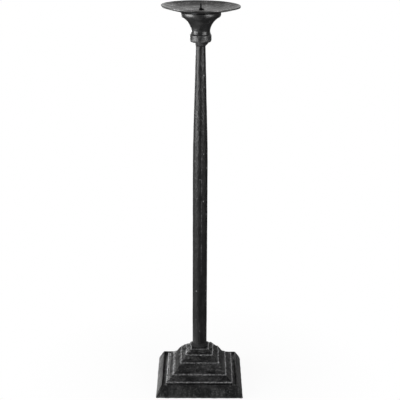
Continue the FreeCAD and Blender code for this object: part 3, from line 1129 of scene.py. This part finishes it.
def foot_profile(foot):
    """Closed loop round the casting's wall: out through the hollow, up the outside and down the socket."""
    half = FOOT_HIGH.x
    soft = foot.edge_soft
    wall = foot.casting_wall
    width, height = foot.platform_half, PLATFORM
    # The tier edges' wear is partly rubbed iron and partly painted edge highlight
    tiers = [Corner(width, height, soft, wear=foot.platform_wear_and_glint, lumps=foot.platform_lumps)]
    feet = []
    rows = zip(foot.riser_leans, foot.riser_heights, foot.ledge_widths, foot.ledge_falls, foot.edge_wear_and_glint,
               foot.edge_lumps)
    for lean, rise, ledge, fall, wear, lumps in rows:
        width, height = width + lean, height - rise
        tiers.append(Corner(width, height, soft))
        feet.append(Corner(width - wall, height - wall, 2 * soft))
        width, height = width + ledge, height - fall
        tiers.append(Corner(width, height, soft, wear=wear, lumps=lumps))

    skirt_top = BOTTOM + foot.skirt_height
    skirt_half = width + foot.channel_width
    channel_floor = skirt_top - foot.channel_depth
    rim = Corner(half - foot.rim_wall, BOTTOM)
    ceiling = PLATFORM - foot.top_thickness
    hole_end = Corner(foot.hole_r, ceiling, zone=1.0)
    inside = [hole_end, Corner(foot.ceiling_half, ceiling, 2 * soft)] + feet[1:]
    inside += [Corner(width, channel_floor - wall, 2 * soft), rim]

    # The skirt swells along its normal
    normal_out, normal_up = 0.9, 0.43
    edge_top = BOTTOM + foot.foot_edge
    middle = ((half + skirt_half) / 2 + foot.skirt_bulge * normal_out,
              (edge_top + skirt_top) / 2 + foot.skirt_bulge * normal_up)
    skirt = bow((half, edge_top), middle, (skirt_half, skirt_top))
    skirt[0] = skirt[0]._replace(rounding=soft, wear=foot.rim_wear)
    skirt[-1] = skirt[-1]._replace(rounding=soft)
    outside = [rim, Corner(half, BOTTOM, 0.5 * soft)] + skirt
    # Painted light: a little of the rubbed colour on the channel's corners lifts its shade
    for across in (skirt_half - foot.channel_slope, width):
        outside.append(Corner(across, channel_floor, soft, wear=foot.channel_light))
    outside += tiers[::-1]
    outside.append(Corner(foot.socket_r, PLATFORM, zone=1.0))

    socket_floor = PLATFORM - foot.socket_depth
    socket = [outside[-1], Corner(foot.socket_r, socket_floor, zone=1.0)]
    socket += [Corner(foot.hole_r, socket_floor, zone=1.0), hole_end]
    return joined((inside, 5.0 * MM), (outside, 1.0 * MM), (socket, 4.0 * MM))


class CANDLESTICK_OT_foot(bpy.types.Operator):
    """Make the stepped foot casting, hollow below, with lugs for the pads"""

    bl_idname = "candlestick.foot"
    bl_label = "Stepped foot"

    def execute(self, context):
        foot = context.scene.candlestick_foot
        channel_floor = BOTTOM + foot.skirt_height - foot.channel_depth
        piece = grow("stepped_foot", stepped_tree(), {
            "Columns": 384,
            "Corner Round": foot.corner_soft,
            "Front Wear": foot.front_edge_light,
            "Right Wear": foot.right_edge_light,
            "Lug Place": PAD_PLACE,
            "Lug Radius": PAD_R + foot.lug_margin,
            "Lug Bottom": PAD_HIGH.z,
            "Lug Top": channel_floor - foot.casting_wall / 2,
            "Lump Size": foot.lump_size,
            "Lump Depth": foot.lump_depth,
            "Pit Size": 5.0 * MM,
            "Pit Depth": 0.3 * MM,
            "Seed": 3.1,
            "Material": iron_material(FOOT_IRON),
        }, foot_profile(foot))
        settle(piece, "stand", "black_iron", "base_casting")
        return {"FINISHED"}


class CANDLESTICK_OT_pads(bpy.types.Operator):
    """Make the four felt pads under the foot's lugs"""

    bl_idname = "candlestick.pads"
    bl_label = "Felt pads"

    def execute(self, context):
        top = PAD_HIGH.z
        widest = 0.4 * top
        soft = 0.5 * MM
        low_r = PAD_R - 0.3 * MM
        top_r = PAD_R - 0.2 * MM
        outline = [Corner(0.0, 0.0), Corner(low_r, 0.0, soft), Corner(PAD_R, widest, 2 * soft),
                   Corner(top_r, top, soft), Corner(0.0, top)]
        pads = grow("felt_pads", pad_tree(), {
            "Columns": 72,
            "Pad Place": PAD_PLACE,
            "Fuzz": 0.12 * MM,
            "Material": felt_material(),
        }, soften(outline, 0.7 * MM))
        names = ["felt_pad_front_left", "felt_pad_front_right", "felt_pad_back_left", "felt_pad_back_right"]
        settle(pads, "stand", "felt", *names)
        return {"FINISHED"}


class CANDLESTICK_OT_fastening(bpy.types.Operator):
    """Finish the bolt and the washers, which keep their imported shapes"""

    bl_idname = "candlestick.fastening"
    bl_label = "Bolt and washers"

    def execute(self, context):
        finish = context.scene.candlestick_finish
        zinc = plated_material("zinc plate", finish.zinc, fine_rough=0.3, coarse_rough=0.5)
        spring = plated_material("oiled spring", finish.spring, fine_rough=0.35, coarse_rough=0.55)
        finishes = {
            "base_bolt": zinc,
            "base_flat_washer": zinc,
            "base_spring_washer": spring,
            "pan_washer": zinc,
        }
        for node, material in finishes.items():
            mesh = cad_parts[node].data
            mesh.materials.clear()
            mesh.materials.append(material)
        return {"FINISHED"}


def column_profile(column):
    """The column from its bolt bore, out under the spigot, up the shaft and over the tenon."""
    knee = COLLAR_BOTTOM - column.taper_length
    ring_r = column.shaft_r + column.ring_out
    ring_top = PLATFORM + column.ring_height
    ring = bow((ring_r - column.ring_undercut, PLATFORM), (ring_r, PLATFORM + column.ring_height / 2),
               (column.shaft_r, ring_top), zone=1.0)
    hidden = [Corner(0.0, column.bore_top), Corner(column.bore_r, column.bore_top),
              Corner(column.bore_r, COLUMN_LOW.z), Corner(column.spigot_r, COLUMN_LOW.z),
              Corner(column.spigot_r, PLATFORM), ring[0]]
    shown = ring + [Corner(column.shaft_r, ring_top + column.ring_grime),
                    Corner(column.shaft_r, knee, column.knee_soft), Corner(column.top_r, COLLAR_BOTTOM)]
    tenon = [shown[-1], Corner(column.tenon_r, COLLAR_BOTTOM), Corner(column.tenon_r, COLUMN_HIGH.z),
             Corner(0.0, COLUMN_HIGH.z)]
    return joined((hidden, 6.0 * MM), (shown, 1.2 * MM), (tenon, 6.0 * MM))


class CANDLESTICK_OT_column(bpy.types.Operator):
    """Make the column, straight below and tapered to the collar"""

    bl_idname = "candlestick.column"
    bl_label = "Column"

    def execute(self, context):
        column = context.scene.candlestick_column
        piece = grow("tapered_column", turned_tree(), {
            "Columns": 108,
            "Lump Size": column.lump_size,
            "Lump Depth": column.lump_depth,
            "Pit Size": 4.5 * MM,
            "Pit Depth": 0.3 * MM,
            "Seam Angle": column.seam_angle,
            "Seam Width": column.seam_width,
            "Seam Height": column.seam_height,
            "Seam From": column.seam_from,
            "Seam To": column.seam_to,
            "Seed": 8.6,
            "Material": iron_material(COLUMN_IRON),
        }, column_profile(column))
        settle(piece, "stand", "black_iron", "column")
        return {"FINISHED"}


def collar_profile(collar):
    """The collar from its tenon bore, up the ring, neck, bell and band, and down the stud bore."""
    low, high = COLLAR_BOTTOM, COLLAR_TOP
    lumps = collar.bell_lumps
    bore_top = low + collar.tenon_bore
    bore = [Corner(0.0, bore_top), Corner(collar.tenon_bore_r, bore_top), Corner(collar.tenon_bore_r, low)]

    rough = {"zone": collar.ring_grime, "lumps": collar.ring_lumps}
    ring_top = low + collar.ring_height
    slant = (collar.ring_r - collar.neck_r) / 2
    ring = [Corner(collar.ring_r, low, rounding=3.4 * MM, wear=0.2, **rough),
            Corner(collar.ring_r, ring_top, rounding=1.0 * MM, wear=0.1, **rough),
            Corner(collar.neck_r + slant, ring_top + slant, rounding=0.6 * MM)]

    bell_top = low + collar.bell_height
    bell = bow((collar.neck_r, low + collar.neck_height), (collar.belly_r, low + collar.belly_height),
               (collar.bell_r, bell_top), lumps=lumps)
    foot_r, foot_up = collar.bell_r + collar.band_groove, bell_top + collar.band_groove
    band_up = foot_up + collar.band_round
    swell = math.sqrt(0.5)
    middle = (foot_r + (collar.band_r - foot_r) * swell, band_up - collar.band_round * swell)
    band = bow((foot_r, foot_up), middle, (collar.band_r, band_up), zone=collar.band_grime, lumps=lumps)

    # The groove between bell and band is full of grime
    bell[-1] = bell[-1]._replace(zone=1.0)
    band[0] = band[0]._replace(zone=1.0)
    shown = bore[-1:] + ring + bell + band
    shown.append(Corner(collar.band_r, high, rounding=0.7 * MM, zone=collar.band_grime))
    shown.append(Corner(collar.stud_bore_r, high))
    stud_end = high - collar.stud_bore
    stud = [shown[-1], Corner(collar.stud_bore_r, stud_end), Corner(0.0, stud_end)]
    return joined((bore, 4.0 * MM), (shown, 0.9 * MM), (stud, 4.0 * MM))


class CANDLESTICK_OT_collar(bpy.types.Operator):
    """Make the bell collar under the pan"""

    bl_idname = "candlestick.collar"
    bl_label = "Collar"

    def execute(self, context):
        collar = context.scene.candlestick_collar
        piece = grow("bell_collar", turned_tree(), {
            "Columns": 120,
            "Lump Size": collar.lump_size,
            "Lump Depth": collar.lump_depth,
            "Pit Size": 4.0 * MM,
            "Pit Depth": 0.12 * MM,
            "Seed": 5.2,
            "Material": iron_material(COLLAR_IRON),
        }, collar_profile(collar))
        settle(piece, "stand", "black_iron", "collar")
        return {"FINISHED"}


class CANDLESTICK_OT_welds(bpy.types.Operator):
    """Lay the weld beads under the collar and round the spike's foot"""

    bl_idname = "candlestick.welds"
    bl_label = "Weld beads"

    def execute(self, context):
        iron = iron_material(WELD_IRON)
        low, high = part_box("collar_weld")
        bead = grow("collar_weld_bead", weld_tree(), {
            "Columns": 180,
            "Rows": 29,
            "Low Radius": 7.15 * MM,
            "Low Height": low.z + 0.8 * MM,
            "High Radius": 9.75 * MM,
            "High Height": high.z + 0.3 * MM,
            "High Shift": 2.75 * MM,
            "Bulge": 0.1 * MM,
            "Core": 4.0 * MM,
            "Ripples": 20.0,
            "Ripple Depth": 0.45 * MM,
            "Drip Angle": 1.5 * math.pi,
            "Drip Width": 0.3,
            "Drip Length": 1.2 * MM,
            "Lump Size": 3.0 * MM,
            "Lump Depth": 0.25 * MM,
            "Pit Depth": 0.0,
            "Seed": 1.3,
            "Material": iron,
        })
        settle(bead, "stand", "weld_iron", "collar_weld")
        low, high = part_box("spike_weld")
        bead = grow("spike_weld_bead", weld_tree(), {
            "Columns": 120,
            "Rows": 25,
            "Low Radius": 4.3 * MM,
            "Low Height": low.z - 0.2 * MM,
            "Low Shift": 1.5 * MM,
            "High Radius": 1.9 * MM,
            "High Height": high.z,
            "Bulge": 0.15 * MM,
            "Core": 1.6 * MM,
            "Ripples": 14.0,
            "Ripple Depth": 0.35 * MM,
            "Lump Size": 1.5 * MM,
            "Lump Depth": 0.1 * MM,
            "Pit Depth": 0.0,
            "Seed": 6.4,
            "Material": iron,
        })
        settle(bead, "pan", "weld_iron", "spike_weld")
        return {"FINISHED"}


def pan_profile(pan):
    """Closed loop round the pan's wall: out under it, round the rim, in over its dish and down the hole."""
    rim_r = PAN_HIGH.x
    floor = PAN_LOW.z + pan.thickness
    rise = PAN_HIGH.z - PAN_LOW.z - pan.thickness
    width = rim_r - pan.rim_width - pan.flat_r
    steps = 16
    climb = [(pan.flat_r + width * step / steps, rise * (step / steps) ** 2) for step in range(steps + 1)]
    under = [Corner(across, PAN_LOW.z + up) for across, up in climb]
    over = [Corner(across, floor + up, zone=1.0) for across, up in climb]
    levels = (PAN_HIGH.z - pan.thickness, PAN_HIGH.z)
    # The rim takes part of the paler brushed colour: brushed finish, and painted light on its outer face
    rim = [Corner(rim_r, level, pan.rim_soft, zone=pan.rim_brushed_and_lit) for level in levels]
    hole = Corner(pan.hole_r, PAN_LOW.z)
    hole_edge = Corner(pan.hole_r, floor, rounding=0.3 * MM, zone=1.0)
    return soften([hole] + under + rim + over[::-1] + [hole_edge, hole], 1.3 * MM)


class CANDLESTICK_OT_pan(bpy.types.Operator):
    """Make the shallow drip pan"""

    bl_idname = "candlestick.pan"
    bl_label = "Drip pan"

    def execute(self, context):
        pan = context.scene.candlestick_pan
        piece = grow("shallow_pan", turned_tree(), {
            "Columns": 200,
            "Lump Size": 22.0 * MM,
            "Lump Depth": 0.25 * MM,
            "Pit Size": 4.0 * MM,
            "Pit Depth": 0.1 * MM,
            "Tilt": math.tan(pan.tilt),
            "Tilt From": pan.flat_r,
            "Tilt To": PAN_HIGH.x,
            "Seed": 2.4,
            "Material": iron_material(PAN_IRON),
        }, pan_profile(pan))
        settle(piece, "pan", "pan_iron", "drip_pan")
        return {"FINISHED"}


def spike_profile(pan):
    """The spike from the end of its threaded stud to its blunt tip."""
    floor = PAN_LOW.z + pan.thickness
    end, tip = SPIKE_LOW.z, SPIKE_HIGH.z
    stud = [Corner(0.0, end), Corner(pan.stud_r - pan.thread_depth, end),
            Corner(pan.stud_r, end + pan.stud_bevel), Corner(pan.stud_r, floor)]
    above = [stud[-1], Corner(pan.spike_foot_r, floor),
             Corner(pan.spike_r, floor + pan.spike_foot, rounding=1.0 * MM),
             Corner(pan.spike_r, tip - pan.spike_point, rounding=0.8 * MM),
             Corner(pan.spike_tip_r, tip, rounding=0.3 * MM), Corner(0.0, tip)]
    return joined((stud, 0.125 * MM), (above, 0.4 * MM))


class CANDLESTICK_OT_spike(bpy.types.Operator):
    """Make the spike with its threaded stud"""

    bl_idname = "candlestick.spike"
    bl_label = "Spike"

    def execute(self, context):
        pan = context.scene.candlestick_pan
        piece = grow("pricket_spike", turned_tree(), {
            "Columns": 40,
            "Lump Size": 2.5 * MM,
            "Lump Depth": 0.04 * MM,
            "Pit Depth": 0.0,
            "Seed": 9.3,
            "Thread From": SPIKE_LOW.z + 0.1 * MM,
            "Thread To": PAN_LOW.z,
            "Thread Pitch": pan.thread_pitch,
            "Thread Depth": pan.thread_depth,
            "Material": iron_material(SPIKE_IRON),
        }, spike_profile(pan))
        settle(piece, "pan", "spike_steel", "spike")
        return {"FINISHED"}


OPERATORS = (
    CANDLESTICK_OT_stage,
    CANDLESTICK_OT_foot,
    CANDLESTICK_OT_pads,
    CANDLESTICK_OT_fastening,
    CANDLESTICK_OT_column,
    CANDLESTICK_OT_collar,
    CANDLESTICK_OT_welds,
    CANDLESTICK_OT_pan,
    CANDLESTICK_OT_spike,
)

SETTINGS = {
    "candlestick_foot": FootSettings,
    "candlestick_column": ColumnSettings,
    "candlestick_collar": CollarSettings,
    "candlestick_pan": PanSettings,
    "candlestick_finish": FinishSettings,
    "candlestick_stage": StageSettings,
}


class CANDLESTICK_PT_panel(bpy.types.Panel):
    """Lists the pieces of the candlestick and their settings"""

    bl_idname = "CANDLESTICK_PT_panel"
    bl_label = "Candlestick"
    bl_space_type = "VIEW_3D"
    bl_region_type = "UI"
    bl_category = "Candlestick"

    def draw(self, context):
        for operator in OPERATORS:
            self.layout.operator(operator.bl_idname)
        for name, group in SETTINGS.items():
            box = self.layout.box()
            for prop in group.__annotations__:
                box.prop(getattr(context.scene, name), prop)


def register():
    for name, group in SETTINGS.items():
        bpy.utils.register_class(group)
        setattr(bpy.types.Scene, name, PointerProperty(type=group))
    for cls in OPERATORS + (CANDLESTICK_PT_panel,):
        bpy.utils.register_class(cls)


def unregister():
    for cls in OPERATORS + (CANDLESTICK_PT_panel,):
        bpy.utils.unregister_class(cls)
    for name, group in SETTINGS.items():
        delattr(bpy.types.Scene, name)
        bpy.utils.unregister_class(group)


def main():
    register()
    bpy.ops.candlestick.stage()
    bpy.ops.candlestick.foot()
    bpy.ops.candlestick.pads()
    bpy.ops.candlestick.fastening()
    bpy.ops.candlestick.column()
    bpy.ops.candlestick.collar()
    bpy.ops.candlestick.welds()
    bpy.ops.candlestick.pan()
    bpy.ops.candlestick.spike()


if __name__ == "__main__":
    main()
